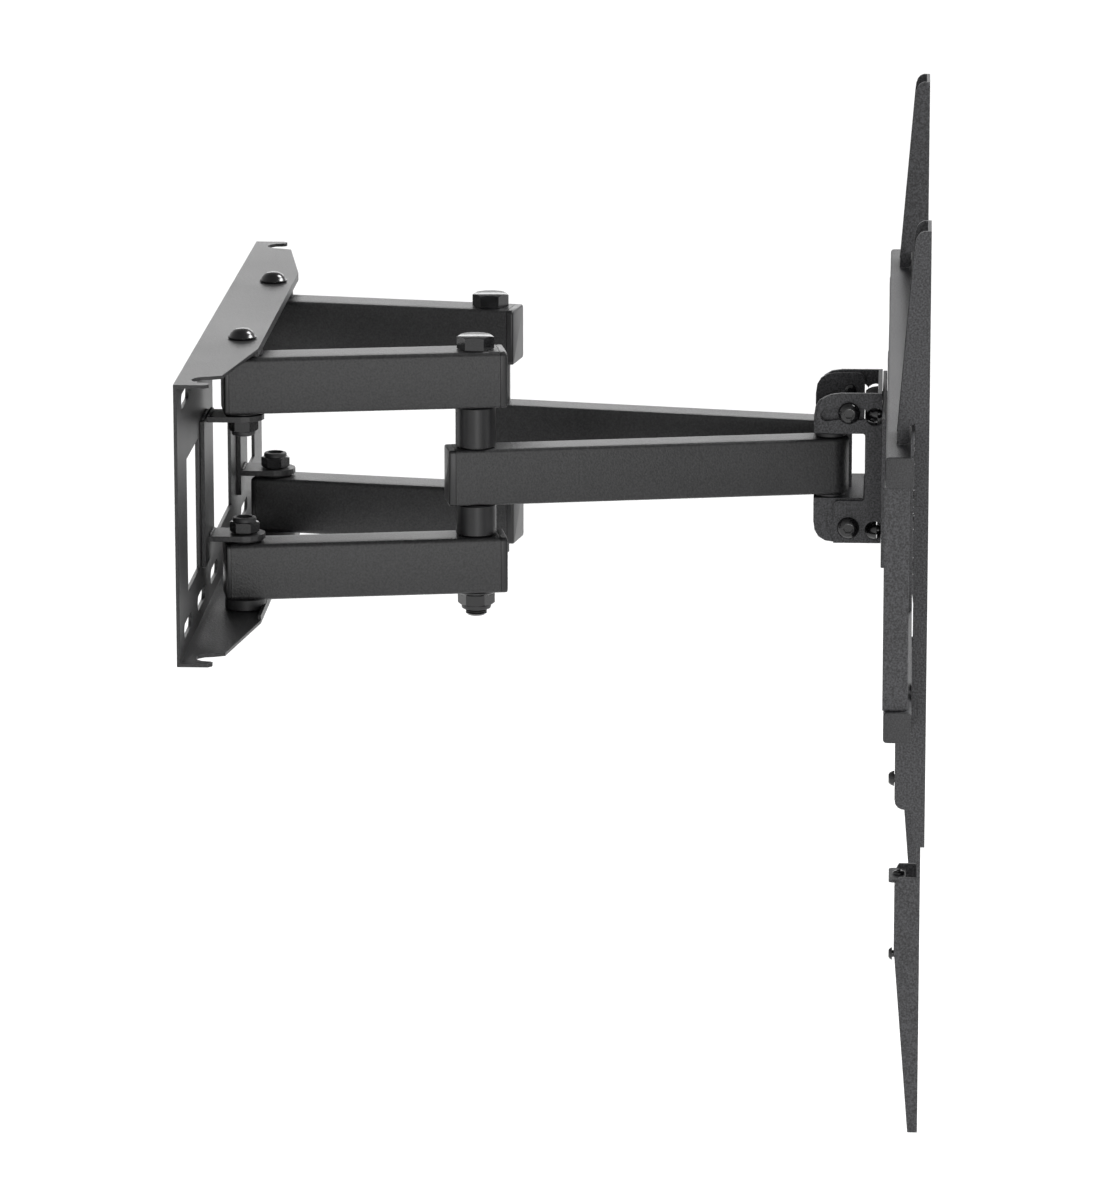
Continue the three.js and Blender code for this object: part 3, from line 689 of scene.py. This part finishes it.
railSet = {
    "half": 415, "low": 503.6, "high": 523.1, "height": 22, "corner": 2.6, "wallThickness": 2.5,
    "tops": {"upper": 80, "lower": -100},
    "lip": {"low": -8, "high": 10, "edge": 0.8},
    "cap": {"span": (415.2, 416.9), "edge": 0.9, "gap": 0.4, "core": (405, 415.3)},
}


def railBar(level):
    half, height, thick = railSet["half"], railSet["height"], railSet["wallThickness"]
    deep = railSet["high"] - railSet["low"]
    bar = roundedBar(deep / 2, height, -half, half, railSet["corner"])
    hollow = block((thick - deep / 2, -half - 1, thick - height),
                   (deep / 2 - thick, half + 1, -thick))
    bar = combined(bar, [hollow])
    if level == "upper":
        hook = railSet["lip"]
        lip = block((deep / 2 - thick, -half, hook["low"]), (deep / 2, half, hook["high"]))
        top = edgesWhere(lip, lambda a, b: abs(a.y - b.y) > 1 and a.z > 1)
        roundEdges(lip, top, hook["edge"], 2)
        bar = combined(bar, [lip], "UNION")
    return bar


def railCap():
    cap, height = railSet["cap"], railSet["height"]
    deep = railSet["high"] - railSet["low"]
    inset = railSet["wallThickness"] + cap["gap"]
    cover = roundedBar(deep / 2, height, *cap["span"], railSet["corner"], endRadius=cap["edge"])
    core = block((inset - deep / 2, cap["core"][0], inset - height),
                 (deep / 2 - inset, cap["core"][1], -inset))
    return joined(cover, core)


def makeRails():
    middle = (railSet["high"] + railSet["low"]) / 2
    towardsRight = Matrix.Rotation(-math.pi / 2, 4, "Z")
    ends = {"left": Matrix.Rotation(math.pi / 2, 4, "Z"), "right": towardsRight}
    for level, top in railSet["tops"].items():
        place = inRow(0, middle, top)
        finishPiece(railBar(level), f"{level}Rail", place @ towardsRight, texturedBlackPowder,
                    "tv_frame", [f"{level}_rail"])
        for side in sides:
            finishPiece(railCap(), f"{level}RailCap_{side}", place @ ends[side],
                        grainedBlackPlastic, "tv_frame", [f"{level}_rail_cap_{side}"])


makeRails()

bracketSet = {
    "across": 350,
    "lockScrew": {"size": (5.4, 4.1, 3, 10.3), "out": 511.7, "height": -164},
    "extensionScrew": {"size": (4.5, 2.6, 2.5, 18), "out": 511.5, "height": -292},
    "tab": {"low": (-16, -5, -2.2), "high": (16, 7, 0), "corner": 3, "out": 515.5,
            "height": -233.5},
    "tabScrew": {"size": (4.2, 2.4, 2.5, 9), "out": 515.5, "height": -233.2},
}
levelBoltSet = {"size": (7.2, 9.2, 3.6, 5.6), "across": 34.4, "out": 496.0,
                "heights": (34.3, -54.2)}


def makeBracketParts(sign, side):
    body = f"tv_bracket_{side}"
    toWall = Matrix.Rotation(-math.pi / 2, 4, "X")
    places = {name: inRow(sign * bracketSet["across"], part["out"], part["height"])
              for name, part in bracketSet.items() if name != "across"}
    buttonScrew(f"lockScrew_{side}", places["lockScrew"] @ toWall,
                bracketSet["lockScrew"]["size"], body, [f"lock_screw_{side}"])
    buttonScrew(f"extensionScrew_{side}", places["extensionScrew"] @ toWall,
                bracketSet["extensionScrew"]["size"], body)
    tab = block(bracketSet["tab"]["low"], bracketSet["tab"]["high"])
    upright = edgesWhere(tab, lambda a, b: abs(a.z - b.z) > 1)
    roundEdges(tab, upright, bracketSet["tab"]["corner"], 4)
    finishPiece(tab, f"extensionTab_{side}", places["tab"], texturedBlackPowder,
                body)
    buttonScrew(f"tabScrew_{side}", places["tabScrew"], bracketSet["tabScrew"]["size"], body)
    for height in levelBoltSet["heights"]:
        place = inRow(sign * levelBoltSet["across"], levelBoltSet["out"], height) @ toWall
        buttonScrew(f"levelBolt_{height}_{side}", place, levelBoltSet["size"], "tilting_head")


for sign, side in zip((-1, 1), sides):
    makeBracketParts(sign, side)
print("rails and small screws made")
